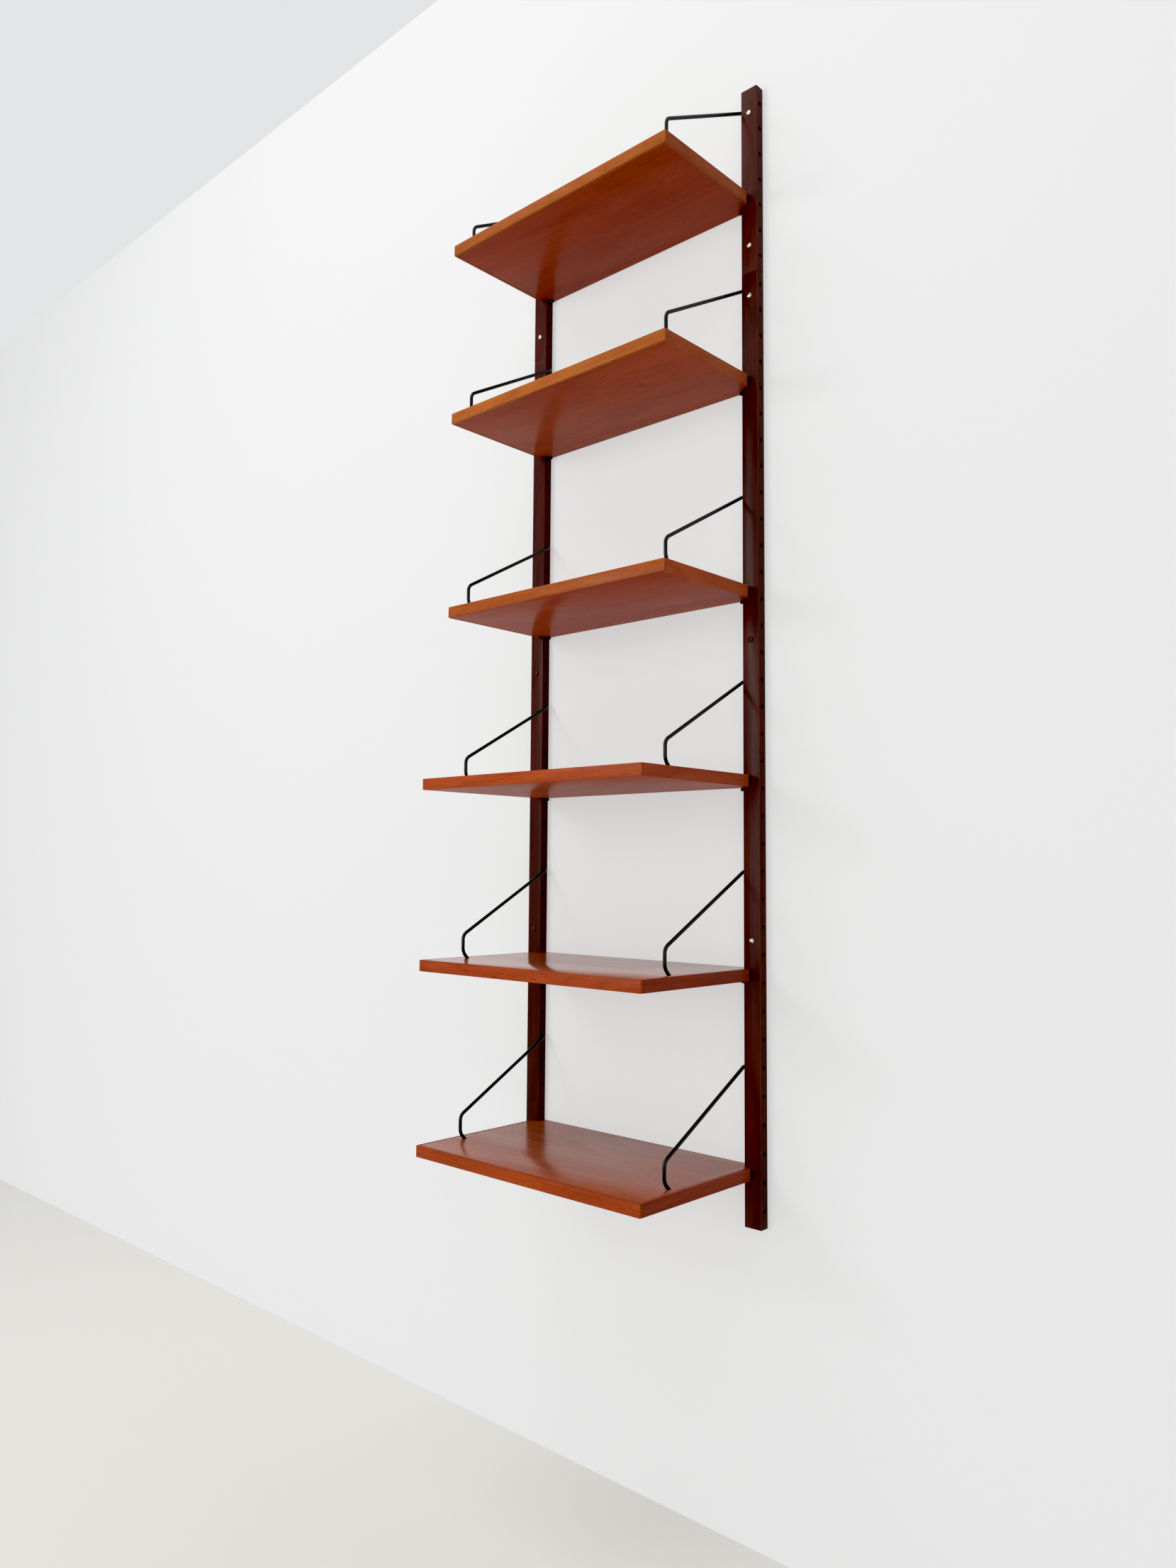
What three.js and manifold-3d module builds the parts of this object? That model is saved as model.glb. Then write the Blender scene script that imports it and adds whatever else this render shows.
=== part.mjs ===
// Wall-hung shelf bay: two drilled wooden uprights on the wall, six notched boards,
// each standing on two pegs at the back and held level by two bent wire hangers.
// Millimetres. The wall is the plane y = 0, the front faces -Y and +Z is up.
// The origin lies in the wall plane, midway between the uprights, at their lower ends.

import * as THREE from "three";
import { mergeVertices } from "three/addons/utils/BufferGeometryUtils.js";
import Module from "manifold-3d";

// Driving dimensions
const HOLE_PITCH = 45;
const FIRST_HOLE = 27.5; // from the lower end of each upright piece
const HOLE_DIAMETER = 7.2;
const UPRIGHT_WIDTH = 32;
const UPRIGHT_DEPTH = 18.5;
const UPRIGHT_INNER = 234.5; // x of the face that looks at the boards
const LOWER_LENGTH = 1580;
const LOWER_HOLES = 35;
const UPPER_LENGTH = 328;
const UPPER_HOLES = 7;

const BOARD_LENGTH = 500;
const BOARD_THICKNESS = 19.5;
const DEEP = 298;
const SHALLOW = 246;
const EDGE_THICKNESS = 4.7; // solid strip glued along the front edge
const EDGE_EASING = 1;
const REAR_CORNER_RADIUS = 7;
const NOTCH_CLEARANCE = 1;
const WALL_CLEARANCE = 1;

const ROD_DIAMETER = 6;
const PEG_LENGTH = 26;
const PEG_REACH = 10; // how far a peg stands out of the upright
const HANGER_INSET = 5.5; // from the upright's inner face to the wire's centre plane
const HANGER_HOLES_UP = 4; // the hook sits this many holes above the board's peg
const HOOK_DEPTH = 16; // length of wire inside the upright
const ELBOW_REACH = 217; // distance of the wire's front leg from the wall
const ELBOW_HEIGHT = 41; // above the board's top
const ENTRY_REACH = 206.5; // where the wire's foot goes into the board
const FOOT_ANGLE = THREE.MathUtils.degToRad(45); // foot's lean from the vertical, towards the wall
const FOOT_DEPTH = 10; // length of wire inside the board
const ELBOW_RADIUS = 14;
const KNEE_RADIUS = 20;

const SCREW_HEAD_RADIUS = 4.7;
const SCREW_HEAD_HEIGHT = 2.9;
const SCREW_SHANK_RADIUS = 2;
const SCREW_HOLE_DIAMETER = 5.4;

const GAP = 0.3; // between pieces that touch
const REST_GAP = 0.25; // between a peg and the board on it
const ROUND_SIDES = 8;
const BEND_STEPS = 4;

// Worked out from the above
const HOLE_Y = -UPRIGHT_DEPTH / 2;
const UPRIGHT_X = UPRIGHT_INNER + UPRIGHT_WIDTH / 2;
const SIDES = [["left", -1], ["right", 1]];
const JOINT_Z = LOWER_LENGTH + GAP;
const lowerHole = (k) => FIRST_HOLE + k * HOLE_PITCH;
const upperHole = (k) => JOINT_Z + FIRST_HOLE + k * HOLE_PITCH;

// Shelves from the top down: height of the peg hole, and the board's depth
const SHELVES = [
  { peg: upperHole(2), depth: SHALLOW },
  { peg: lowerHole(30), depth: SHALLOW },
  { peg: lowerHole(22), depth: SHALLOW },
  { peg: lowerHole(15), depth: DEEP },
  { peg: lowerHole(8), depth: DEEP },
  { peg: lowerHole(1), depth: DEEP },
];

// Wall screws from the bottom up, each between two holes
const LOWER_SCREWS = [lowerHole(9.5), lowerHole(20.5), lowerHole(33.6)];
const UPPER_SCREWS = [upperHole(0.45), upperHole(5.7)];

const COLOURS = {
  upright: { color: 0x4a1a10, roughness: 0.45, metalness: 0 },
  extension: { color: 0x5e261a, roughness: 0.42, metalness: 0 },
  board: { color: 0x8a5138, roughness: 0.3, metalness: 0 },
  edge: { color: 0xb0622c, roughness: 0.35, metalness: 0 },
  wire: { color: 0x121011, roughness: 0.4, metalness: 0.6 },
  screw: { color: 0xb9b4ab, roughness: 0.25, metalness: 1 },
};

const wasm = await Module();
wasm.setup();

function toSolid(geometry) {
  const bare = geometry.clone();
  bare.deleteAttribute("normal");
  bare.deleteAttribute("uv");
  const merged = mergeVertices(bare, 1e-4);
  const vertProperties = new Float32Array(merged.attributes.position.array);
  const triVerts = new Uint32Array(merged.index.array);
  return new wasm.Manifold(new wasm.Mesh({ numProp: 3, vertProperties, triVerts }));
}

function toGeometry(solid) {
  const mesh = solid.getMesh();
  const geometry = new THREE.BufferGeometry();
  geometry.setAttribute("position", new THREE.BufferAttribute(mesh.vertProperties, 3));
  geometry.setIndex(new THREE.BufferAttribute(mesh.triVerts, 1));
  return geometry;
}

function cut(geometry, cutters) {
  const solid = cutters.reduce((rest, cutter) => rest.subtract(toSolid(cutter)), toSolid(geometry));
  return toGeometry(solid);
}

// A cylinder of a given diameter between two points
function rodBetween(diameter, from, to) {
  const along = to.clone().sub(from);
  const rod = new THREE.CylinderGeometry(diameter / 2, diameter / 2, along.length(), ROUND_SIDES);
  const turn = new THREE.Quaternion().setFromUnitVectors(new THREE.Vector3(0, 1, 0), along.normalize());
  const middle = from.clone().add(to).multiplyScalar(0.5);
  return rod.applyQuaternion(turn).translate(middle.x, middle.y, middle.z);
}

function uprightPiece(side, bottom, length, holes, screws) {
  const bar = new THREE.BoxGeometry(UPRIGHT_WIDTH, UPRIGHT_DEPTH, length);
  bar.translate(side * UPRIGHT_X, HOLE_Y, bottom + length / 2);
  const overshoot = 1;
  const cross = holes.map((z) => rodBetween(
    HOLE_DIAMETER,
    new THREE.Vector3(side * (UPRIGHT_INNER - overshoot), HOLE_Y, z),
    new THREE.Vector3(side * (UPRIGHT_INNER + UPRIGHT_WIDTH + overshoot), HOLE_Y, z),
  ));
  const through = screws.map((z) => rodBetween(
    SCREW_HOLE_DIAMETER,
    new THREE.Vector3(side * UPRIGHT_X, overshoot, z),
    new THREE.Vector3(side * UPRIGHT_X, -UPRIGHT_DEPTH - overshoot, z),
  ));
  return cut(bar, [...cross, ...through]);
}

// Round-headed screw, head to the front; it ends level with the back of the upright
function wallScrew(side, z) {
  const under = UPRIGHT_DEPTH;
  const crown = under + SCREW_HEAD_HEIGHT;
  const profile = [
    new THREE.Vector2(0, 0),
    new THREE.Vector2(SCREW_SHANK_RADIUS, 0),
    new THREE.Vector2(SCREW_SHANK_RADIUS, under),
    new THREE.Vector2(SCREW_HEAD_RADIUS, under),
  ];
  for (let i = 1; i <= BEND_STEPS; i++) {
    const turn = (i / BEND_STEPS) * (Math.PI / 2);
    const r = i === BEND_STEPS ? 0 : SCREW_HEAD_RADIUS * Math.cos(turn);
    profile.push(new THREE.Vector2(r, under + (crown - under) * Math.sin(turn)));
  }
  const screw = new THREE.LatheGeometry(profile, ROUND_SIDES + 4);
  return screw.rotateX(Math.PI).translate(side * UPRIGHT_X, -GAP, z);
}

function boardTop(shelf) {
  return shelf.peg + ROD_DIAMETER / 2 + REST_GAP + BOARD_THICKNESS;
}

// Direction in which the wire's foot runs down into the board
const FOOT = new THREE.Vector3(0, Math.sin(FOOT_ANGLE), -Math.cos(FOOT_ANGLE));

function board(shelf) {
  const end = BOARD_LENGTH / 2;
  const tongue = UPRIGHT_INNER - NOTCH_CLEARANCE;
  const notch = -UPRIGHT_DEPTH - NOTCH_CLEARANCE;
  const front = -shelf.depth + EDGE_THICKNESS + GAP;
  const outline = new THREE.Shape();
  outline.moveTo(-tongue, -WALL_CLEARANCE);
  outline.lineTo(-tongue, notch);
  outline.lineTo(-end + REAR_CORNER_RADIUS, notch);
  outline.absarc(-end + REAR_CORNER_RADIUS, notch - REAR_CORNER_RADIUS, REAR_CORNER_RADIUS,
    Math.PI / 2, Math.PI, false);
  outline.lineTo(-end, front);
  outline.lineTo(end, front);
  outline.lineTo(end, notch - REAR_CORNER_RADIUS);
  outline.absarc(end - REAR_CORNER_RADIUS, notch - REAR_CORNER_RADIUS, REAR_CORNER_RADIUS,
    0, Math.PI / 2, false);
  outline.lineTo(tongue, notch);
  outline.lineTo(tongue, -WALL_CLEARANCE);
  const top = boardTop(shelf);
  const slab = new THREE.ExtrudeGeometry(outline, {
    depth: BOARD_THICKNESS, bevelEnabled: false, curveSegments: BEND_STEPS,
  });
  slab.translate(0, 0, top - BOARD_THICKNESS);
  const sockets = SIDES.map(([, side]) => {
    const entry = new THREE.Vector3(side * (UPRIGHT_INNER - HANGER_INSET), -ENTRY_REACH, top);
    const outside = entry.clone().addScaledVector(FOOT, -2 * ROD_DIAMETER);
    const inside = entry.clone().addScaledVector(FOOT, FOOT_DEPTH + 2);
    return rodBetween(HOLE_DIAMETER, outside, inside);
  });
  return cut(slab, sockets);
}

// Solid front edge strip with eased outer arrises, as long as the board
function frontEdge(shelf) {
  const section = new THREE.Shape();
  const half = BOARD_THICKNESS / 2;
  section.moveTo(0, -half);
  section.lineTo(EDGE_THICKNESS - EDGE_EASING, -half);
  section.lineTo(EDGE_THICKNESS, -half + EDGE_EASING);
  section.lineTo(EDGE_THICKNESS, half - EDGE_EASING);
  section.lineTo(EDGE_THICKNESS - EDGE_EASING, half);
  section.lineTo(0, half);
  const strip = new THREE.ExtrudeGeometry(section, { depth: BOARD_LENGTH, bevelEnabled: false });
  const turn = new THREE.Matrix4().makeBasis(
    new THREE.Vector3(0, -1, 0),
    new THREE.Vector3(0, 0, 1),
    new THREE.Vector3(-1, 0, 0),
  );
  strip.applyMatrix4(turn);
  return strip.translate(BOARD_LENGTH / 2, -shelf.depth + EDGE_THICKNESS, boardTop(shelf) - half);
}

function peg(side, shelf) {
  const tip = UPRIGHT_INNER - PEG_REACH;
  return rodBetween(
    ROD_DIAMETER,
    new THREE.Vector3(side * tip, HOLE_Y, shelf.peg),
    new THREE.Vector3(side * (tip + PEG_LENGTH), HOLE_Y, shelf.peg),
  );
}

// A chain of points, one per step, joined by straight pieces
class PointPath extends THREE.Curve {
  constructor(points) {
    super();
    this.points = points;
  }

  getPoint(t) {
    const place = t * (this.points.length - 1);
    const i = Math.min(Math.floor(place), this.points.length - 2);
    return this.points[i].clone().lerp(this.points[i + 1], place - i);
  }

  getPointAt(u) {
    return this.getPoint(u);
  }

  getTangentAt(u) {
    return this.getTangent(u);
  }
}

// Replaces a corner of a wire by an arc of the given radius
function bend(before, corner, after, radius) {
  const into = corner.clone().sub(before).normalize();
  const out = after.clone().sub(corner).normalize();
  const turn = into.angleTo(out);
  const start = corner.clone().addScaledVector(into, -radius * Math.tan(turn / 2));
  const inward = out.clone().addScaledVector(into, -into.dot(out)).normalize();
  return Array.from({ length: BEND_STEPS + 1 }, (_, i) => {
    const angle = (turn * i) / BEND_STEPS;
    return start.clone()
      .addScaledVector(into, radius * Math.sin(angle))
      .addScaledVector(inward, radius * (1 - Math.cos(angle)));
  });
}

function hanger(side, shelf) {
  const top = boardTop(shelf);
  const hookZ = shelf.peg + HANGER_HOLES_UP * HOLE_PITCH;
  const plane = side * (UPRIGHT_INNER - HANGER_INSET);
  const kneeDrop = (ELBOW_REACH - ENTRY_REACH) / Math.tan(FOOT_ANGLE);
  const hookEnd = new THREE.Vector3(side * (UPRIGHT_INNER + HOOK_DEPTH), HOLE_Y, hookZ);
  const hook = new THREE.Vector3(plane, HOLE_Y, hookZ);
  const elbow = new THREE.Vector3(plane, -ELBOW_REACH, top + ELBOW_HEIGHT);
  const knee = new THREE.Vector3(plane, -ELBOW_REACH, top + kneeDrop);
  const entry = new THREE.Vector3(plane, -ENTRY_REACH, top);
  const foot = entry.clone().addScaledVector(FOOT, FOOT_DEPTH);
  const wire = new PointPath([
    hookEnd,
    ...bend(hookEnd, hook, elbow, HANGER_INSET),
    ...bend(hook, elbow, knee, ELBOW_RADIUS),
    ...bend(elbow, knee, foot, KNEE_RADIUS),
    foot,
  ]);
  const section = new THREE.Shape();
  for (let i = 0; i < ROUND_SIDES; i++) {
    const turn = (2 * Math.PI * i) / ROUND_SIDES;
    const x = (ROD_DIAMETER / 2) * Math.cos(turn);
    const y = (ROD_DIAMETER / 2) * Math.sin(turn);
    if (i === 0) section.moveTo(x, y);
    else section.lineTo(x, y);
  }
  return new THREE.ExtrudeGeometry(section, {
    steps: wire.points.length - 1, extrudePath: wire, bevelEnabled: false,
  });
}

const group = new THREE.Group();

function add(name, geometry, finish) {
  const mesh = new THREE.Mesh(geometry, new THREE.MeshStandardMaterial(COLOURS[finish]));
  mesh.name = name;
  group.add(mesh);
}

const range = (count) => Array.from({ length: count }, (_, k) => k);

for (const [word, side] of SIDES) {
  const lower = uprightPiece(side, 0, LOWER_LENGTH, range(LOWER_HOLES).map(lowerHole), LOWER_SCREWS);
  const upper = uprightPiece(side, JOINT_Z, UPPER_LENGTH, range(UPPER_HOLES).map(upperHole), UPPER_SCREWS);
  add(`upright_${word}`, lower, "upright");
  add(`upright_extension_${word}`, upper, "extension");
  [...LOWER_SCREWS, ...UPPER_SCREWS].forEach((z, i) => {
    add(`wall_screw_${word}_${i + 1}`, wallScrew(side, z), "screw");
  });
}

SHELVES.forEach((shelf, i) => {
  const number = i + 1;
  add(`board_${number}`, board(shelf), "board");
  add(`front_edge_${number}`, frontEdge(shelf), "edge");
  for (const [word, side] of SIDES) {
    add(`peg_${number}_${word}`, peg(side, shelf), "wire");
    add(`hanger_${number}_${word}`, hanger(side, shelf), "wire");
  }
});

export default group;
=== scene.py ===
# Looks of a wall-hung shelf bay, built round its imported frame. Metres.
# The wall is the plane y = 0, the front faces -Y and +Z is up.
import math

import bmesh
import bpy
from mathutils import Matrix, Vector


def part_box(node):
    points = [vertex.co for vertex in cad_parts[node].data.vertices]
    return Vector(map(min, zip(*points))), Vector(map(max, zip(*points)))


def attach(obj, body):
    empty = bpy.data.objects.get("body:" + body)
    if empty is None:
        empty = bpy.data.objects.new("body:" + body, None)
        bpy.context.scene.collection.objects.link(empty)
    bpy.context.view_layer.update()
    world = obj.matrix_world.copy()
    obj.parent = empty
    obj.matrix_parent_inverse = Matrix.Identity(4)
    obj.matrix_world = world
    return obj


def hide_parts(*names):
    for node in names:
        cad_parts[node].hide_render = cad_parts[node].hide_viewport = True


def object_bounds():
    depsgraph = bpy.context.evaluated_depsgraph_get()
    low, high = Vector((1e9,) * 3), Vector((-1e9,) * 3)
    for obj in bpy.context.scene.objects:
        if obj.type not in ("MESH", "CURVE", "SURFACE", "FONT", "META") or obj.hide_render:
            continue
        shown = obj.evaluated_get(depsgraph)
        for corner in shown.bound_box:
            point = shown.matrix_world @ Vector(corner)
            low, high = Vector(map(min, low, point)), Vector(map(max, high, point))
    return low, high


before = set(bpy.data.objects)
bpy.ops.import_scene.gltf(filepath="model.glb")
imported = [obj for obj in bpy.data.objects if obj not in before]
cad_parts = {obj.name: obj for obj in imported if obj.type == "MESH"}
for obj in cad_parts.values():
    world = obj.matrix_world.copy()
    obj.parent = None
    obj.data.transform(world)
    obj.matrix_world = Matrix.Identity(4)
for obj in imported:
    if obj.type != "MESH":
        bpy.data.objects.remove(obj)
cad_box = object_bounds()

MM = 0.001
SIDES = {"left": -1, "right": 1}
SHELVES = range(1, 7)
SCREWS = range(1, 6)
DARK_SCREWS = {("left", 1), ("left", 2), ("right", 2)}

# Uprights: sizes that the frame's boxes don't give
HOLE_PITCH = 45 * MM
FIRST_HOLE = 27.5 * MM
HOLE_RADIUS = 3.3 * MM
RIM_EASING = 0.45 * MM
UPRIGHT_EASING = 1.1 * MM

# Boards
BOARD_EASING = 0.35 * MM
EDGE_EASING = 0.7 * MM
END_STRIP = 4.5 * MM
STRIP_SEAM = 0.08 * MM
REAR_CORNER_RADIUS = 7 * MM
REAR_CORNER_STEPS = 8
NOTCH_CLEARANCE = 1 * MM
SOCKET_RADIUS = 3.3 * MM
SOCKET_SLACK = 1.5 * MM
SOCKET_POINT = 1.2 * MM
SOCKET_RUN_IN = 6 * MM

# Pegs and hangers, made of the same rod
ROD_RADIUS = 3 * MM
PEG_EASING = 0.9 * MM
PEG_SHOULDER = 0.3 * PEG_EASING
HANGER_INSET = 5.5 * MM
HOOK_UP = 4 * HOLE_PITCH
HOOK_DEPTH = 16 * MM
HOOK_TIP_SHARE = 0.02
ELBOW_REACH = 217 * MM
ELBOW_HEIGHT = 41 * MM
ELBOW_RADIUS = 14 * MM
KNEE_RADIUS = 20 * MM
LEG_PARTS = 12
ENTRY_REACH = 206.5 * MM
FOOT_ANGLE = math.radians(45)
FOOT_DEPTH = 10 * MM
FOOT_TIP = 0.5 * MM
FOOT_WAY = Vector((0, math.sin(FOOT_ANGLE), -math.cos(FOOT_ANGLE)))
TIP_SHARE = 0.8

# Wall screws
SCREW_HEAD_RADIUS = 4.7 * MM
SCREW_HEAD_RIM = 0.5 * MM
SCREW_HEAD_SINK = 0.05 * MM
SCREW_SEAT_RADIUS = SCREW_HEAD_RADIUS - 0.15 * MM
SCREW_DOME_STEPS = 8
SCREW_SHANK_RADIUS = 2 * MM
SCREW_HOLE_RADIUS = SCREW_SHANK_RADIUS + 0.3 * MM
SCREW_SIDES = 32
RECESS_ARM = 2.4 * MM
RECESS_BLADE = 0.45 * MM
RECESS_DEPTH = 1.5 * MM
RECESS_LIFT = 0.2 * MM
RECESS_TAPER = 0.55
RECESS_TURN = 20
RECESS_TURN_STEP = 47

# Mesh: sides of round shapes, angles past which an edge is sharp, and tests of a face's direction
ROUND = 24
BEND_STEPS = 10
SHARP = math.radians(32)
SHARP_ON_METAL = math.radians(40)
SHARP_ON_ROD = math.radians(50)
EASED_EDGE = math.radians(35)
UPWARD = 0.99
ENDWAYS = 0.5
BORE_SLACK = 0.05 * MM

# Material slots of the wooden pieces
EASED_EDGE_SLOT = 1
BORE_SLOT = 2
TOP_SLOT = 2

# Camera
CAMERA_PLACE = (1.3058, -1.5609, 0.5679)
CAMERA_YAW = math.radians(42.606)
CAMERA_PITCH = math.radians(4.337)
CAMERA_ROLL = math.radians(0.412)
CAMERA_LENS = 26.005
CAMERA_REACH = (0.01, 50)
SENSOR = 36

# Stage
FLOOR_DROP = 0.5
WALL_TOP = 2.55
WALL_BEHIND = 0.3 * MM
WALL_GLOW = 0.47
SLOT_INSET = 1.5 * MM
STAGE_REACH = 6

# Light: the room's brightness where it is seen or mirrored, and as a light on dull surfaces
ROOM_TINT = (0.98, 0.99, 1.0, 1)
ROOM_SEEN = 0.79
ROOM_LIGHT = 0.3
BLACK_LEVEL = 0.015

# Area lights: place, the point they face, size, power in watts and tint
LIGHTS = {
    "windows": ((-2.0, -8.5, 1.1), (0, 0, 0.9), (6.0, 3.4), 335, (1.0, 1.0, 1.0)),
    "sky": ((-2.0, -3.4, 1.9), (0, 0, 0.9), (0.8, 0.8), 30, (0.98, 0.99, 1.0)),
    "doorway": ((3.4, -1.8, 1.2), (0, 0, 1.0), (1.4, 1.8), 18, (1.0, 0.99, 0.98)),
    "ceiling": ((-0.4, -1.6, 3.1), (-0.4, -1.2, 0), (3.2, 2.2), 42, (1.0, 0.99, 0.97)),
}


def colour(red, green, blue):
    """An sRGB colour of 0 to 255 as the linear RGBA that shaders take."""
    def linear(value):
        value /= 255
        return value / 12.92 if value <= 0.04045 else ((value + 0.055) / 1.055) ** 2.4
    return (linear(red), linear(green), linear(blue), 1)


def scaled(tone, factor, lift=0.0):
    """The colour made darker or paler by a factor, and raised by a lift."""
    return tuple(min(1, channel * factor + lift) for channel in tone[:3]) + (1,)


# Colours ------------------------------------------------------------------

# Light and dark tones of the uprights, their rounded edges and their extensions; the paler edge tones are
# rubbed wear and a painted edge highlight
POST = (colour(83, 37, 29), colour(47, 22, 19))
# Paler tones of the uprights' rounded edges: rubbed wear and a painted edge highlight
POST_EDGE_WEAR_AND_HIGHLIGHT = (colour(104, 54, 42), colour(66, 34, 28))
EXTENSION = (colour(85, 39, 31), colour(55, 26, 22))
# Painted shade: the wood inside the holes is coloured dark
BORE_SHADE = colour(48, 20, 14)

# Light and dark tones of each board: veneer below and on top, front strip and end strips; the end strips
# of the lower boards also carry painted shade
UNDERSIDE = {
    1: (colour(164, 76, 50), colour(134, 58, 40)),
    2: (colour(170, 86, 58), colour(140, 66, 48)),
    3: (colour(176, 86, 58), colour(146, 66, 48)),
    4: (colour(176, 92, 60), colour(146, 72, 50)),
    5: (colour(168, 84, 56), colour(136, 64, 46)),
    6: (colour(168, 84, 56), colour(136, 64, 46)),
}
UNDERSIDE_WEAR = {1: 0.0, 2: 0.05, 3: 0.3, 4: 0.15, 5: 0.05, 6: 0.0}
TOP = (colour(176, 92, 54), colour(138, 66, 40))
TOP_GLOSS = {1: 0.2, 2: 0.2, 3: 0.2, 4: 0.18, 5: 0.15, 6: 0.25}
FRONT = {
    1: (colour(162, 92, 47), colour(136, 71, 37)),
    2: (colour(172, 102, 50), colour(145, 78, 40)),
    3: (colour(164, 89, 46), colour(139, 69, 37)),
    4: (colour(172, 82, 46), colour(138, 60, 34)),
    5: (colour(166, 78, 44), colour(128, 54, 32)),
    6: (colour(166, 78, 42), colour(128, 54, 30)),
}
# Painted shade: the ends of boards 5 and 6, and a little those of board 4, are darker than their front
# strips
END_TONE_AND_SHADE = {
    1: (colour(158, 86, 58), colour(130, 68, 47)),
    2: (colour(164, 88, 57), colour(136, 68, 46)),
    3: (colour(172, 88, 56), colour(140, 68, 44)),
    4: (colour(164, 80, 54), colour(132, 60, 42)),
    5: (colour(144, 68, 48), colour(112, 50, 38)),
    6: (colour(146, 70, 50), colour(114, 52, 40)),
}

BLACK = colour(7, 7, 8)
RUBBED_BLACK = colour(26, 24, 23)
NICKEL = (colour(214, 210, 202), colour(150, 140, 126))
TARNISH = (colour(92, 52, 38), colour(44, 24, 18))
FLOOR_PAINT = colour(236, 235, 231)
WALL_PAINT = colour(148, 149, 149)


# Materials ---------------------------------------------------------------

# Patterns in wood: features per metre along the grain and twice across it
GRAIN_TURN = {"x": (0, 0, 0), "y": (0, 0, math.pi / 2), "z": (0, math.pi / 2, 0)}
SEED_SHIFT = (0.37, 0.71, 0.53)
FIGURE_SCALE = (1.6, 9, 9)
FIGURE_LINES = 75.0
STREAK_SCALE = (6, 420, 420)
CLOUD_SCALE = (3, 14, 14)
PORE_SCALE = (45, 1100, 1100)
MARK_SCALE = (28, 90, 90)
FIBRE_SCALE = (300, 900, 250)

# The values of a noise between which a pattern fades in
MIDDLE = (0.3, 0.7)
PORE_BAND = (0.6, 0.72)
MARK_BAND = (0.62, 0.78)
RUB_BAND = (0.6, 0.75)
STAIN_BAND = (0.42, 0.68)

# How strongly each pattern shows in the wood
CLOUD_TONE = (-0.15, 0.35)
LIGHTEST_TONE = 1.15
PORE_DARKNESS = 0.35
BORE_DARKNESS = 0.4
PORE_SHARE = 0.6
MARK_PALENESS = 1.5
MARK_LIFT = 0.02
MARK_SHARE = 0.18
MARK_DULLING = 0.18
STREAK_RELIEF = 0.35
GLOSS_BAND = (-0.04, 0.05)

# Dull wood under a lacquer with little sheen face on and a strong one at grazing angles
WOOD_ROUGHNESS = 0.7
LACQUER_IOR = 1.25

# Patterns in paint and metal, features per metre
PEEL_SCALE = (600, 600, 600)
RUB_SCALE = (55, 55, 55)
STAIN_SCALE = (420, 420, 420)
TURNING_SCALE = (2500, 300, 2500)
PAINT_CLOUD_SCALE = (1.5, 1.5, 1.5)
PAINT_SKIN_SCALE = (60, 60, 60)
PAINT_DARKNESS = 0.97
STAIN_DULLING = 0.25


def add(tree, kind, inputs=None, **settings):
    """Adds a node; inputs are linked where they are sockets, and set otherwise."""
    node = tree.nodes.new(kind)
    for key, value in settings.items():
        setattr(node, key, value)
    for key, value in (inputs or {}).items():
        if isinstance(value, bpy.types.NodeSocket):
            tree.links.new(value, node.inputs[key])
        else:
            node.inputs[key].default_value = value
    return node


def new_material(name):
    """A material with its tree, its shader, its output and the object's own coordinates."""
    material = bpy.data.materials.new(name)
    material.use_nodes = True
    tree = material.node_tree
    tree.nodes.clear()
    shader = add(tree, "ShaderNodeBsdfPrincipled")
    output = add(tree, "ShaderNodeOutputMaterial", {"Surface": shader.outputs[0]})
    coords = add(tree, "ShaderNodeTexCoord").outputs["Object"]
    return material, tree, shader, output, coords


def blend_colours(tree, factor, low, high):
    inputs = {0: factor, 6: low, 7: high}
    return add(tree, "ShaderNodeMix", inputs, data_type="RGBA").outputs[2]


def math_node(tree, operation, first, second=0.0):
    return add(tree, "ShaderNodeMath", {0: first, 1: second}, operation=operation).outputs[0]


def map_range(tree, value, low, high, to_low=0.0, to_high=1.0):
    inputs = {"Value": value, "From Min": low, "From Max": high, "To Min": to_low, "To Max": to_high}
    return add(tree, "ShaderNodeMapRange", inputs).outputs[0]


def stretched_noise(tree, coords, scale, detail=2.0, roughness=0.5):
    """Noise whose features are 1 / scale metres long on each axis."""
    placed = add(tree, "ShaderNodeMapping", {"Vector": coords, "Scale": scale})
    inputs = {"Vector": placed.outputs[0], "Scale": 1.0, "Detail": detail, "Roughness": roughness}
    return add(tree, "ShaderNodeTexNoise", inputs).outputs[0]


def bump(tree, height, distance, strength):
    inputs = {"Height": height, "Distance": distance, "Strength": strength}
    return add(tree, "ShaderNodeBump", inputs).outputs[0]


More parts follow.
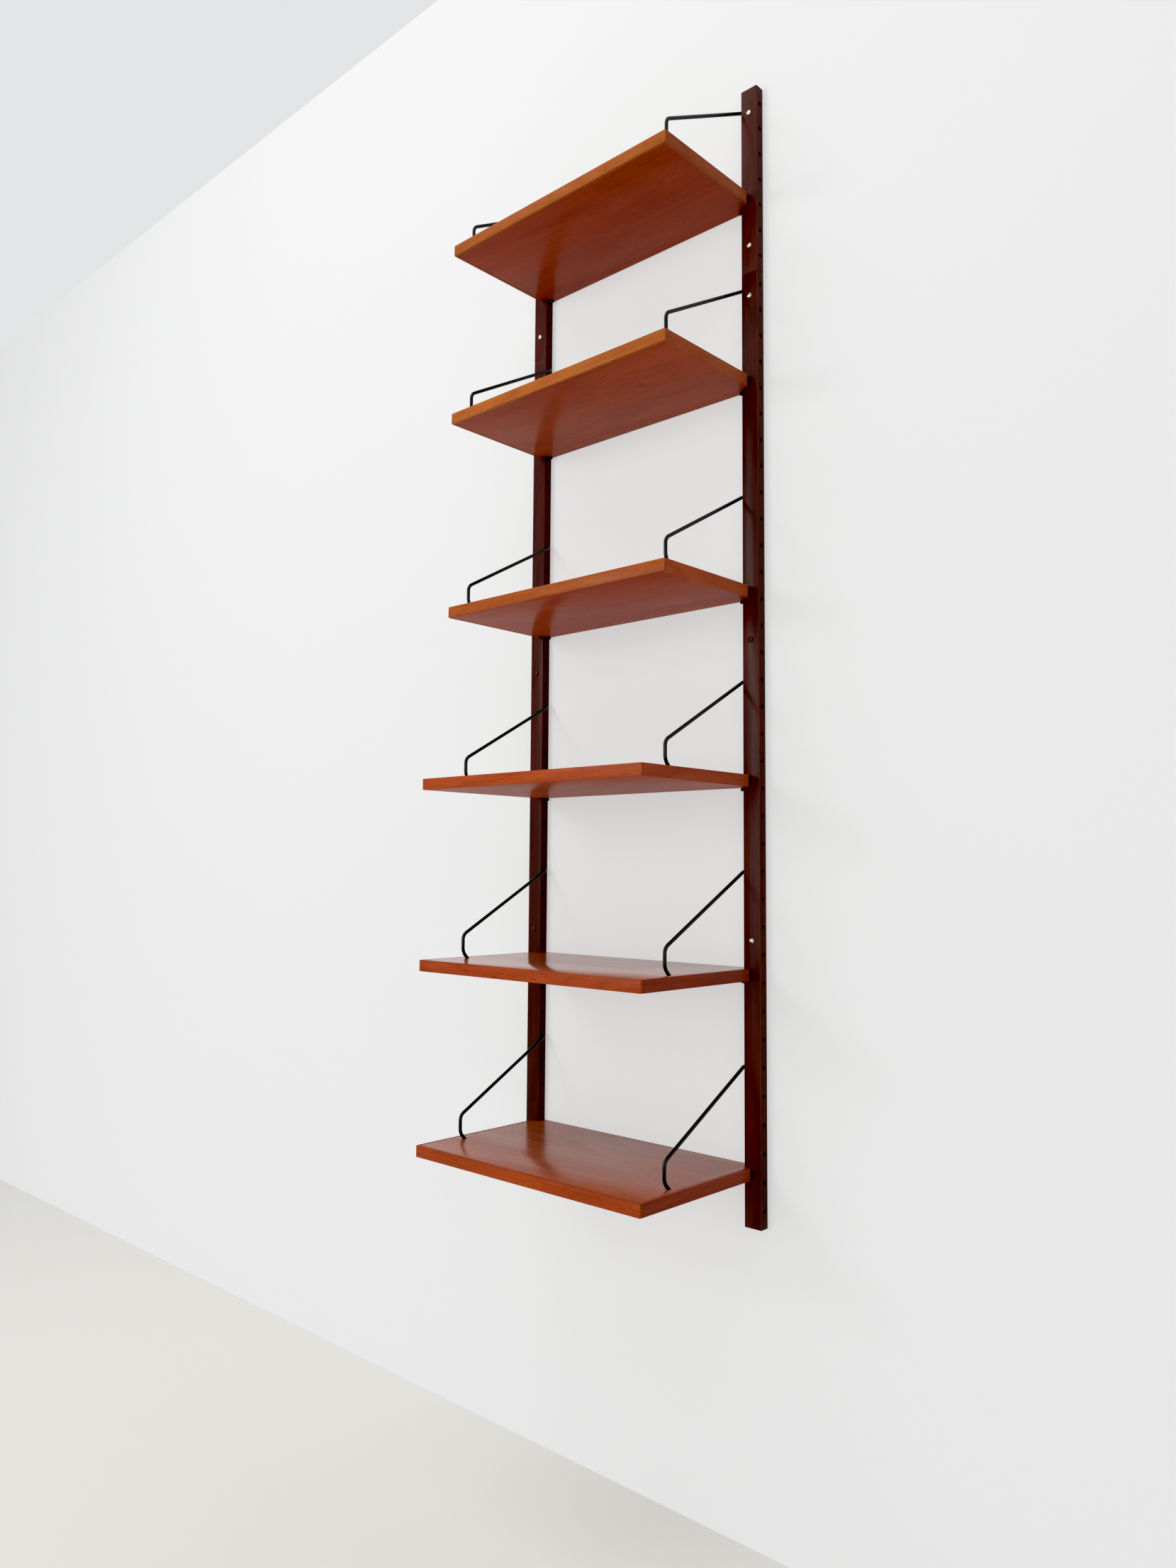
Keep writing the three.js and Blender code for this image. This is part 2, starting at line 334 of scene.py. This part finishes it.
def teak(name, light, dark, grain, seed, gloss=0.28, lacquer=0.3, figure=0.25, streak=0.4,
         relief=0.05, wear=0.0):
    """Lacquered teak: growth figure, fine streaks and pores along the grain, and rubbed marks."""
    material, tree, shader, _, coords = new_material(name)
    offset = tuple(step * seed for step in SEED_SHIFT)
    turned = add(tree, "ShaderNodeMapping", {
        "Vector": coords, "Rotation": GRAIN_TURN[grain], "Location": offset}).outputs[0]
    broad = stretched_noise(tree, turned, FIGURE_SCALE, detail=1)
    contours = math_node(tree, "SINE", math_node(tree, "MULTIPLY", broad, FIGURE_LINES))
    rings = map_range(tree, contours, -1, 1)
    streaks = stretched_noise(tree, turned, STREAK_SCALE, detail=4, roughness=0.6)
    cloud = stretched_noise(tree, turned, CLOUD_SCALE, detail=3)
    pores = map_range(tree, stretched_noise(tree, turned, PORE_SCALE, detail=1), *PORE_BAND)
    marks = stretched_noise(tree, turned, MARK_SCALE, detail=5, roughness=0.7)
    marks = map_range(tree, marks, *MARK_BAND)

    figure_part = math_node(tree, "MULTIPLY", rings, figure)
    streak_part = math_node(tree, "MULTIPLY", map_range(tree, streaks, *MIDDLE), streak)
    tone = math_node(tree, "ADD", figure_part, streak_part)
    tone = math_node(tree, "ADD", tone, map_range(tree, cloud, *MIDDLE, *CLOUD_TONE))
    base = blend_colours(tree, map_range(tree, tone, 0.0, LIGHTEST_TONE), dark, light)
    pore_share = math_node(tree, "MULTIPLY", pores, PORE_SHARE)
    base = blend_colours(tree, pore_share, base, scaled(dark, PORE_DARKNESS))
    mark_share = math_node(tree, "MULTIPLY", marks, MARK_SHARE + wear)
    base = blend_colours(tree, mark_share, base, scaled(light, MARK_PALENESS, MARK_LIFT))
    tree.links.new(base, shader.inputs["Base Color"])

    least, most = (gloss + change for change in GLOSS_BAND)
    streaky = map_range(tree, streaks, *MIDDLE, to_low=least, to_high=most)
    rough = math_node(tree, "ADD", streaky, math_node(tree, "MULTIPLY", marks, MARK_DULLING))
    tree.links.new(rough, shader.inputs["Coat Roughness"])

    raised = math_node(tree, "MULTIPLY", streaks, STREAK_RELIEF)
    height = math_node(tree, "SUBTRACT", raised, pores)
    surface = bump(tree, height, distance=relief * MM, strength=0.5)
    tree.links.new(surface, shader.inputs["Normal"])
    tree.links.new(surface, shader.inputs["Coat Normal"])
    shader.inputs["Roughness"].default_value = WOOD_ROUGHNESS
    shader.inputs["Specular IOR Level"].default_value = 0.0
    shader.inputs["Coat Weight"].default_value = lacquer
    shader.inputs["Coat IOR"].default_value = LACQUER_IOR
    return material


def shaded_bore_wood(name, tone):
    """Wood inside a drilled hole, dull and torn across the grain, coloured dark as painted shade in the
    hole.
    """
    material, tree, shader, _, coords = new_material(name)
    fibres = stretched_noise(tree, coords, FIBRE_SCALE, detail=4)
    base = blend_colours(tree, fibres, scaled(tone, BORE_DARKNESS), tone)
    tree.links.new(base, shader.inputs["Base Color"])
    tree.links.new(map_range(tree, fibres, *MIDDLE, to_low=0.7, to_high=0.95), shader.inputs["Roughness"])
    tree.links.new(bump(tree, fibres, distance=0.2 * MM, strength=0.6), shader.inputs["Normal"])
    return material


def enamel(name):
    """Satin black paint on drawn wire, with faint orange peel and rubbed spots."""
    material, tree, shader, _, coords = new_material(name)
    peel = stretched_noise(tree, coords, PEEL_SCALE, detail=2)
    rubs = map_range(tree, stretched_noise(tree, coords, RUB_SCALE, detail=5), *RUB_BAND)
    tree.links.new(blend_colours(tree, rubs, BLACK, RUBBED_BLACK), shader.inputs["Base Color"])
    tree.links.new(map_range(tree, rubs, 0, 1, to_low=0.34, to_high=0.5), shader.inputs["Roughness"])
    tree.links.new(bump(tree, peel, distance=0.03 * MM, strength=0.4), shader.inputs["Normal"])
    shader.inputs["Specular IOR Level"].default_value = 0.25
    return material


def plated(name, clean, stained, gloss):
    """Plated screw metal with fine turning marks and stains, which are duller than the rest."""
    material, tree, shader, _, coords = new_material(name)
    stains = map_range(tree, stretched_noise(tree, coords, STAIN_SCALE, detail=4), *STAIN_BAND)
    lines = stretched_noise(tree, coords, TURNING_SCALE, detail=2)
    tree.links.new(blend_colours(tree, stains, clean, stained), shader.inputs["Base Color"])
    rough = map_range(tree, stains, 0, 1, to_low=gloss, to_high=gloss + STAIN_DULLING)
    tree.links.new(rough, shader.inputs["Roughness"])
    tree.links.new(bump(tree, lines, distance=0.02 * MM, strength=0.4), shader.inputs["Normal"])
    shader.inputs["Metallic"].default_value = 1.0
    return material


def wall_and_floor_paint(name, tone, glow=0.0, see_through_back=False):
    """Pale paint. A glow evens its shading, and the wall can be seen through from behind."""
    material, tree, shader, output, coords = new_material(name)
    cloud = stretched_noise(tree, coords, PAINT_CLOUD_SCALE, detail=3)
    skin = stretched_noise(tree, coords, PAINT_SKIN_SCALE, detail=5)
    base = blend_colours(tree, cloud, scaled(tone, PAINT_DARKNESS), tone)
    tree.links.new(base, shader.inputs["Base Color"])
    tree.links.new(bump(tree, skin, distance=0.4 * MM, strength=0.25), shader.inputs["Normal"])
    shader.inputs["Roughness"].default_value = 0.85
    shader.inputs["Specular IOR Level"].default_value = 0.2
    shader.inputs["Emission Color"].default_value = (1, 1, 1, 1)
    shader.inputs["Emission Strength"].default_value = glow
    if see_through_back:
        back = add(tree, "ShaderNodeNewGeometry").outputs["Backfacing"]
        clear = add(tree, "ShaderNodeBsdfTransparent")
        mix = add(tree, "ShaderNodeMixShader", {0: back, 1: shader.outputs[0], 2: clear.outputs[0]})
        tree.links.new(mix.outputs[0], output.inputs["Surface"])
    return material


# Mesh tools --------------------------------------------------------------

def new_object(name, bm, materials):
    """Turns a mesh in progress into an object, with its faces turned outwards."""
    bmesh.ops.recalc_face_normals(bm, faces=bm.faces)
    mesh = bpy.data.meshes.new(name)
    bm.to_mesh(mesh)
    bm.free()
    for material in materials:
        mesh.materials.append(material)
    piece = bpy.data.objects.new(name, mesh)
    bpy.context.scene.collection.objects.link(piece)
    return piece


def bake_modifiers(piece):
    """Turns the piece's modifiers into mesh."""
    bpy.context.view_layer.update()
    shown = piece.evaluated_get(bpy.context.evaluated_depsgraph_get())
    mesh = bpy.data.meshes.new_from_object(shown)
    old = piece.data
    piece.modifiers.clear()
    piece.data = mesh
    bpy.data.meshes.remove(old)


def soften(piece, width, segments=2):
    """Rounds the sharp edges; the rounded faces take the edge material, which on the uprights is paler:
    wear and a painted highlight.
    """
    bevel = piece.modifiers.new("easing", "BEVEL")
    bevel.width = width
    bevel.segments = segments
    bevel.limit_method = "ANGLE"
    bevel.angle_limit = EASED_EDGE
    bevel.material = EASED_EDGE_SLOT
    bake_modifiers(piece)


def drill(piece, cutter):
    """Cuts the cutter's shape out of the piece and removes the cutter."""
    boolean = piece.modifiers.new("drill", "BOOLEAN")
    boolean.operation = "DIFFERENCE"
    boolean.solver = "EXACT"
    boolean.object = cutter
    bake_modifiers(piece)
    old = cutter.data
    bpy.data.objects.remove(cutter)
    bpy.data.meshes.remove(old)


def smooth(piece, angle=SHARP):
    piece.data.shade_smooth()
    piece.data.set_sharp_from_angle(angle=angle)


def box_mesh(lo, hi):
    bm = bmesh.new()
    bmesh.ops.create_cube(bm, size=1)
    for vertex in bm.verts:
        vertex.co = Vector([a + (c + 0.5) * (b - a) for a, b, c in zip(lo, hi, vertex.co)])
    return bm


def prism(outline, bottom, top):
    """A solid with the given plan, from one height to another."""
    bm = bmesh.new()
    base = bm.faces.new([bm.verts.new((x, y, bottom)) for x, y in outline])
    raised = bmesh.ops.extrude_face_region(bm, geom=[base])
    moved = [item for item in raised["geom"] if isinstance(item, bmesh.types.BMVert)]
    bmesh.ops.translate(bm, verts=moved, vec=(0, 0, top - bottom))
    return bm


def ring_of_verts(bm, centre, across, other, radius, sides):
    """A circle of new corners round a centre, in the plane of two unit vectors."""
    angles = [2 * math.pi * i / sides for i in range(sides)]
    return [bm.verts.new(centre + (across * math.cos(a) + other * math.sin(a)) * radius)
            for a in angles]


def add_lathe(bm, profile, start, along, sides=ROUND):
    """Adds a turned shape to bm: profile is (distance along, radius), closed at both ends."""
    along = along.normalized()
    across = along.orthogonal().normalized()
    other = along.cross(across)
    rings = []
    for distance, radius in profile:
        centre = start + along * distance
        if radius == 0:
            rings.append([bm.verts.new(centre)])
        else:
            rings.append(ring_of_verts(bm, centre, across, other, radius, sides))
    for low, high in zip(rings, rings[1:]):
        for i in range(sides):
            corners = [low[i % len(low)], low[(i + 1) % len(low)],
                       high[(i + 1) % len(high)], high[i % len(high)]]
            bm.faces.new(list(dict.fromkeys(corners)))
    for ring in (rings[0], rings[-1]):
        if len(ring) > 1:
            bm.faces.new(ring)


def bend(before, corner, after, radius):
    """Points of the arc that rounds a wire's corner."""
    into = (corner - before).normalized()
    out = (after - corner).normalized()
    turn = into.angle(out)
    start = corner - into * (radius * math.tan(turn / 2))
    inward = (out - into * into.dot(out)).normalized()
    angles = [turn * i / BEND_STEPS for i in range(BEND_STEPS + 1)]
    return [start + into * (radius * math.sin(a)) + inward * (radius * (1 - math.cos(a)))
            for a in angles]


def sweep(points, radius, sides=ROUND):
    """A round wire along the points, with eased ends."""
    bm = bmesh.new()
    last = (points[1] - points[0]).normalized()
    across = last.orthogonal().normalized()
    rings = []
    for i, point in enumerate(points):
        ahead = (points[min(i + 1, len(points) - 1)] - points[max(i - 1, 0)]).normalized()
        across = last.rotation_difference(ahead) @ across
        across = (across - ahead * across.dot(ahead)).normalized()
        last = ahead
        at_end = i in (0, len(points) - 1)
        shown = radius * TIP_SHARE if at_end else radius
        rings.append(ring_of_verts(bm, point, across, ahead.cross(across), shown, sides))
    for low, high in zip(rings, rings[1:]):
        for k in range(sides):
            bm.faces.new([low[k], low[(k + 1) % sides], high[(k + 1) % sides], high[k]])
    bm.faces.new(rings[0])
    bm.faces.new(rings[-1])
    return bm


def slice_between(bm, low, high):
    """Keeps what lies between two x, closing the cuts. None leaves that side whole."""
    for x, keep in ((low, 1), (high, -1)):
        if x is None:
            continue
        everything = bm.verts[:] + bm.edges[:] + bm.faces[:]
        cut = bmesh.ops.bisect_plane(bm, geom=everything, plane_co=(x, 0, 0),
                                     plane_no=(keep, 0, 0), clear_inner=True)
        loop = [item for item in cut["geom_cut"] if isinstance(item, bmesh.types.BMEdge)]
        bmesh.ops.holes_fill(bm, edges=loop)
    return bm


# Uprights ------------------------------------------------------------------

def drill_cross_holes(bar, lo, hi):
    """Drills the row of holes across the bar, with eased rims and, inside, wood darkened as painted
    shade.
    """
    middle = (lo + hi) / 2
    width = hi.x - lo.x
    rim = HOLE_RADIUS + RIM_EASING
    profile = [(-MM, rim + MM), (0, rim), (RIM_EASING, HOLE_RADIUS),
               (width - RIM_EASING, HOLE_RADIUS), (width, rim), (width + MM, rim + MM)]
    cutter = bmesh.new()
    count = int((hi.z - lo.z - FIRST_HOLE) / HOLE_PITCH) + 1
    for k in range(count):
        start = Vector((lo.x, middle.y, lo.z + FIRST_HOLE + k * HOLE_PITCH))
        add_lathe(cutter, profile, start, Vector((1, 0, 0)))
    drill(bar, new_object("holes", cutter, []))
    for face in bar.data.polygons:
        past_rims = abs(face.center.x - middle.x) < width / 2 - RIM_EASING
        in_row = abs(face.center.y - middle.y) < HOLE_RADIUS + BORE_SLACK
        if past_rims and in_row and abs(face.normal.x) < ENDWAYS:
            face.material_index = BORE_SLOT


def drill_screw_holes(bar, side, lo, hi):
    """Drills a clearance hole from back to front for each wall screw that crosses the bar."""
    middle = (lo + hi) / 2
    depth = hi.y - lo.y + 2 * MM
    profile = [(0, SCREW_HOLE_RADIUS), (depth, SCREW_HOLE_RADIUS)]
    cutter = bmesh.new()
    for number in SCREWS:
        low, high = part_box(f"wall_screw_{side}_{number}")
        z = (low.z + high.z) / 2
        if lo.z < z < hi.z:
            add_lathe(cutter, profile, Vector((middle.x, hi.y + MM, z)), Vector((0, -1, 0)))
    drill(bar, new_object("screw_holes", cutter, []))


def upright(node, side, wood, eased_edge_wood, bore):
    lo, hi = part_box(node)
    bar = new_object(f"teak_{node}", box_mesh(lo, hi), [wood, eased_edge_wood, bore])
    soften(bar, UPRIGHT_EASING, segments=3)
    drill_cross_holes(bar, lo, hi)
    drill_screw_holes(bar, side, lo, hi)
    smooth(bar)
    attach(bar, "uprights")
    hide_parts(node)


def make_uprights():
    # The holes' insides are darkened as painted shade
    bore = shaded_bore_wood("shaded_bore_wood", BORE_SHADE)
    for word, seed in (("left", 3), ("right", 5)):
        post = teak(f"post_teak_{word}", *POST, grain="z", seed=seed, gloss=0.3, lacquer=0.5)
        # The rounded edges get paler teak: rubbed wear and a painted edge highlight
        eased_edge_wood = teak(f"post_edge_wear_and_highlight_{word}", *POST_EDGE_WEAR_AND_HIGHLIGHT, grain="z", seed=seed, gloss=0.4, lacquer=0.5,
                    wear=0.2)
        extension = teak(f"extension_teak_{word}", *EXTENSION, grain="z", seed=seed + 8, gloss=0.3,
                         lacquer=0.5)
        upright(f"upright_{word}", word, post, eased_edge_wood, bore)
        upright(f"upright_extension_{word}", word, extension, eased_edge_wood, bore)


# Wall screws ---------------------------------------------------------------

def recess_cutter(number, crown):
    """A tapered cross that is cut into a screw's head, turned differently for each screw."""
    arm, blade = RECESS_ARM, RECESS_BLADE
    cross = [(arm, blade), (arm, -blade), (blade, -blade), (blade, -arm), (-blade, -arm),
             (-blade, -blade), (-arm, -blade), (-arm, blade), (-blade, blade), (-blade, arm),
             (blade, arm), (blade, blade)]
    turn = Matrix.Rotation(math.radians(RECESS_TURN + RECESS_TURN_STEP * number), 4, "Y")
    bm = bmesh.new()
    mouth = [bm.verts.new(turn @ Vector((x, -crown - RECESS_LIFT, z))) for x, z in cross]
    bed = [bm.verts.new(turn @ Vector((x * RECESS_TAPER, -crown + RECESS_DEPTH, z * RECESS_TAPER)))
           for x, z in cross]
    for k in range(len(cross)):
        after = (k + 1) % len(cross)
        bm.faces.new([mouth[k], mouth[after], bed[after], bed[k]])
    bm.faces.new(mouth)
    bm.faces.new(bed)
    return bm


def screw(word, number, metal):
    """A round-headed screw, from the wall to the crown of its head."""
    node = f"wall_screw_{word}_{number}"
    lo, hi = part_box(node)
    middle = (lo + hi) / 2
    place = Vector((middle.x, hi.y, middle.z))
    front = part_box("upright_right")[0].y
    length = hi.y - front - SCREW_HEAD_SINK
    crown = hi.y - lo.y
    rim = length + SCREW_HEAD_RIM
    angles = [math.pi / 2 * k / SCREW_DOME_STEPS for k in range(SCREW_DOME_STEPS)]
    dome = [(rim + (crown - rim) * math.sin(a), SCREW_HEAD_RADIUS * math.cos(a)) for a in angles]
    profile = [(0, 0), (0, SCREW_SHANK_RADIUS), (length, SCREW_SHANK_RADIUS),
               (length, SCREW_SEAT_RADIUS), *dome, (crown, 0)]
    bm = bmesh.new()
    add_lathe(bm, profile, place, Vector((0, -1, 0)), sides=SCREW_SIDES)
    piece = new_object(f"round_head_{word}_{number}", bm, [metal])
    recess = recess_cutter(number, crown)
    bmesh.ops.translate(recess, verts=recess.verts, vec=place)
    drill(piece, new_object("recess", recess, []))
    smooth(piece, SHARP_ON_METAL)
    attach(piece, "uprights")
    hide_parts(node)


def make_screws():
    bright = plated("nickel", *NICKEL, gloss=0.22)
    tarnished = plated("tarnished_nickel", *TARNISH, gloss=0.4)
    for word in SIDES:
        for number in SCREWS:
            screw(word, number, tarnished if (word, number) in DARK_SCREWS else bright)


# Shelves -------------------------------------------------------------------

def board_outline(i):
    """The board's plan without its front strip: a tongue between the uprights, round rear corners."""
    lo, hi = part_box(f"board_{i}")
    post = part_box("upright_right")[0]
    notch_x = post.x - NOTCH_CLEARANCE
    notch_y = post.y - NOTCH_CLEARANCE
    radius = REAR_CORNER_RADIUS
    angles = [math.pi / 2 * k / REAR_CORNER_STEPS for k in range(REAR_CORNER_STEPS + 1)]
    arc = [(hi.x - radius + radius * math.cos(a), notch_y - radius + radius * math.sin(a))
           for a in angles]
    right = [(hi.x, lo.y), *arc, (notch_x, notch_y), (notch_x, hi.y)]
    left = [(-x, y) for x, y in reversed(right)]
    return right + left


def socket_cutter(top):
    """The slanted sockets, left and right, that take the hangers' feet."""
    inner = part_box("upright_right")[0].x
    length = FOOT_DEPTH + SOCKET_SLACK
    profile = [(-SOCKET_RUN_IN, SOCKET_RADIUS), (length, SOCKET_RADIUS), (length + SOCKET_POINT, 0)]
    bm = bmesh.new()
    for side in SIDES.values():
        entry = Vector((side * (inner - HANGER_INSET), -ENTRY_REACH, top))
        add_lathe(bm, profile, entry, FOOT_WAY)
    return bm


def board(i, top_veneer, veneer, eased_edge_wood):
    """The veneered panel, without its end strips."""
    lo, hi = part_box(f"board_{i}")
    seam = hi.x - END_STRIP
    blank = slice_between(prism(board_outline(i), lo.z, hi.z), -seam, seam)
    panel = new_object(f"veneered_board_{i}", blank, [veneer, eased_edge_wood, top_veneer])
    soften(panel, BOARD_EASING)
    for face in panel.data.polygons:
        if face.normal.z > UPWARD:
            face.material_index = TOP_SLOT
    drill(panel, new_object("sockets", socket_cutter(hi.z), []))
    smooth(panel)
    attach(panel, f"shelf_{i}")
    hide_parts(f"board_{i}")


def end_strips(i, wood, eased_edge_wood):
    """The thin strips glued to the board's two ends."""
    lo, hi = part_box(f"board_{i}")
    for word, side in SIDES.items():
        inner = side * (hi.x - END_STRIP + STRIP_SEAM)
        limits = (inner, None) if side > 0 else (None, inner)
        blank = slice_between(prism(board_outline(i), lo.z, hi.z), *limits)
        strip = new_object(f"end_strip_{i}_{word}", blank, [wood, eased_edge_wood])
        soften(strip, BOARD_EASING)
        smooth(strip)
        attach(strip, f"shelf_{i}")


def front_edge(i, wood, eased_edge_wood):
    """The solid strip glued along the board's front."""
    lo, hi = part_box(f"front_edge_{i}")
    seam_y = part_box(f"board_{i}")[0].y - STRIP_SEAM
    strip = new_object(f"front_strip_{i}", box_mesh(lo, Vector((hi.x, seam_y, hi.z))), [wood, eased_edge_wood])
    soften(strip, EDGE_EASING, segments=3)
    smooth(strip)
    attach(strip, f"shelf_{i}")
    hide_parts(f"front_edge_{i}")


def peg(i, word, paint):
    """A short round rod in an upright's hole, with eased ends."""
    lo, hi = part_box(f"peg_{i}_{word}")
    length = hi.x - lo.x
    middle = (lo + hi) / 2
    start = [(0, 0), (0, ROD_RADIUS - PEG_EASING), (PEG_SHOULDER, ROD_RADIUS - PEG_SHOULDER),
             (PEG_EASING, ROD_RADIUS)]
    end = [(length - distance, radius) for distance, radius in reversed(start)]
    bm = bmesh.new()
    add_lathe(bm, start + end, Vector((lo.x, middle.y, middle.z)), Vector((1, 0, 0)))
    piece = new_object(f"steel_peg_{i}_{word}", bm, [paint])
    smooth(piece, SHARP_ON_ROD)
    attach(piece, f"peg_{i}_{word}")
    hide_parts(f"peg_{i}_{word}")


def hanger(i, word, paint):
    """A bent wire: hook into the upright, long leg, elbow, knee and a slanted foot in the board."""
    side = SIDES[word]
    peg_lo, peg_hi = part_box(f"peg_{i}_{word}")
    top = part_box(f"board_{i}")[1].z
    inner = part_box("upright_right")[0].x
    hole_y = (peg_lo.y + peg_hi.y) / 2
    hook_z = (peg_lo.z + peg_hi.z) / 2 + HOOK_UP
    knee_z = top + (ELBOW_REACH - ENTRY_REACH) / math.tan(FOOT_ANGLE)
    plane = side * (inner - HANGER_INSET)
    hook_end = Vector((side * (inner + HOOK_DEPTH), hole_y, hook_z))
    hook = Vector((plane, hole_y, hook_z))
    elbow = Vector((plane, -ELBOW_REACH, top + ELBOW_HEIGHT))
    knee = Vector((plane, -ELBOW_REACH, knee_z))
    entry = Vector((plane, -ENTRY_REACH, top))
    tip = entry + FOOT_WAY * FOOT_DEPTH
    round_hook = bend(hook_end, hook, elbow, HANGER_INSET)
    round_elbow = bend(hook, elbow, knee, ELBOW_RADIUS)
    round_knee = bend(elbow, knee, tip, KNEE_RADIUS)
    leg = [round_hook[-1].lerp(round_elbow[0], k / LEG_PARTS) for k in range(1, LEG_PARTS)]
    points = [hook_end, hook_end.lerp(hook, HOOK_TIP_SHARE), *round_hook, *leg, *round_elbow,
              *round_knee, tip - FOOT_WAY * FOOT_TIP, tip]
    piece = new_object(f"wire_hanger_{i}_{word}", sweep(points, ROD_RADIUS), [paint])
    smooth(piece, SHARP_ON_ROD)
    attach(piece, f"hanger_{i}_{word}")
    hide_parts(f"hanger_{i}_{word}")


def make_shelves():
    paint = enamel("black_enamel")
    for i in SHELVES:
        veneer = teak(f"veneer_{i}", *UNDERSIDE[i], grain="x", seed=i + 0.3, gloss=0.24,
                      lacquer=0.36, figure=0.16, streak=0.3, relief=0.02, wear=UNDERSIDE_WEAR[i])
        top_veneer = teak(f"top_veneer_{i}", *TOP, grain="x", seed=i + 47, gloss=TOP_GLOSS[i],
                          lacquer=1.0, figure=0.2, streak=0.45, relief=0.02)
        # End strips take the wood's tones, with painted shade on the lower boards
        end_wood_and_shade = teak(f"end_wood_and_shade_{i}", *END_TONE_AND_SHADE[i], grain="y", seed=i + 11)
        front_wood = teak(f"front_wood_{i}", *FRONT[i], grain="x", seed=i + 23)
        eased_edge_wood = teak(f"worn_wood_{i}", *FRONT[i], grain="x", seed=i + 31, gloss=0.34, wear=0.15)
        board(i, top_veneer, veneer, eased_edge_wood)
        end_strips(i, end_wood_and_shade, eased_edge_wood)
        front_edge(i, front_wood, eased_edge_wood)
        for word in SIDES:
            peg(i, word, paint)
            hanger(i, word, paint)


# Stage, light and camera --------------------------------------------------

def stage_panel(name, corners, material):
    bm = bmesh.new()
    bm.faces.new([bm.verts.new(corner) for corner in corners])
    mesh = bpy.data.meshes.new(name)
    bm.to_mesh(mesh)
    bm.free()
    mesh.materials.append(material)
    panel = bpy.data.objects.new(name, mesh)
    bpy.context.scene.collection.objects.link(panel)


def make_stage():
    """A floor, and a wall with slots behind the uprights so that their backs are lit from behind."""
    floor_z = cad_box[0][2] - FLOOR_DROP
    reach = STAGE_REACH
    floor_corners = [(-reach, -reach, floor_z), (reach, -reach, floor_z),
                     (reach, reach, floor_z), (-reach, reach, floor_z)]
    stage_panel("floor", floor_corners, wall_and_floor_paint("floor_paint", FLOOR_PAINT))

    wall_paint = wall_and_floor_paint("wall_paint", WALL_PAINT, glow=WALL_GLOW, see_through_back=True)
    slots = [(lo.x + SLOT_INSET, hi.x - SLOT_INSET)
             for lo, hi in (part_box("upright_left"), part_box("upright_right"))]
    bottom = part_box("upright_left")[0].z + SLOT_INSET
    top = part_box("upright_extension_left")[1].z - SLOT_INSET
    edges = [-reach, *slots[0], *slots[1], reach]
    spans = [(edges[k], edges[k + 1], floor_z, WALL_TOP) for k in (0, 2, 4)]
    for slot in slots:
        spans += [(*slot, floor_z, bottom), (*slot, top, WALL_TOP)]
    y = WALL_BEHIND
    for i, (x0, x1, z0, z1) in enumerate(spans):
        stage_panel(f"wall_{i}", [(x0, y, z0), (x1, y, z0), (x1, y, z1), (x0, y, z1)], wall_paint)


def make_light(name, place, target, size, power, tint):
    light = bpy.data.lights.new(name, "AREA")
    light.shape = "RECTANGLE"
    light.size, light.size_y = size
    light.energy = power
    light.color = tint
    lamp = bpy.data.objects.new(name, light)
    lamp.location = place
    aim = Vector(target) - Vector(place)
    lamp.rotation_euler = aim.to_track_quat("-Z", "Y").to_euler()
    bpy.context.scene.collection.objects.link(lamp)


def make_lights():
    """A pale room all round, dimmer as a light than it looks, and area lights in it."""
    world = bpy.data.worlds.new("room")
    world.use_nodes = True
    tree = world.node_tree
    background = tree.nodes["Background"]
    background.inputs["Color"].default_value = ROOM_TINT
    lighting = add(tree, "ShaderNodeLightPath").outputs["Is Diffuse Ray"]
    strength = map_range(tree, lighting, 0, 1, to_low=ROOM_SEEN, to_high=ROOM_LIGHT)
    tree.links.new(strength, background.inputs["Strength"])
    bpy.context.scene.world = world
    for name, settings in LIGHTS.items():
        make_light(name, *settings)


def set_tone():
    """Plain colours with slightly deepened blacks."""
    view = bpy.context.scene.view_settings
    view.view_transform = "Standard"
    view.use_curve_mapping = True
    view.curve_mapping.black_level = (BLACK_LEVEL, BLACK_LEVEL, BLACK_LEVEL)
    view.curve_mapping.update()


def make_camera():
    data = bpy.data.cameras.new("camera")
    data.sensor_width = SENSOR
    data.lens = CAMERA_LENS
    data.clip_start, data.clip_end = CAMERA_REACH
    camera = bpy.data.objects.new("camera", data)
    facing = (Matrix.Rotation(CAMERA_YAW, 4, "Z") @ Matrix.Rotation(math.pi / 2 + CAMERA_PITCH, 4, "X")
              @ Matrix.Rotation(CAMERA_ROLL, 4, "Z"))
    camera.matrix_world = Matrix.Translation(CAMERA_PLACE) @ facing
    bpy.context.scene.collection.objects.link(camera)
    bpy.context.scene.camera = camera


make_camera()
make_stage()
make_lights()
make_uprights()
make_screws()
make_shelves()
set_tone()
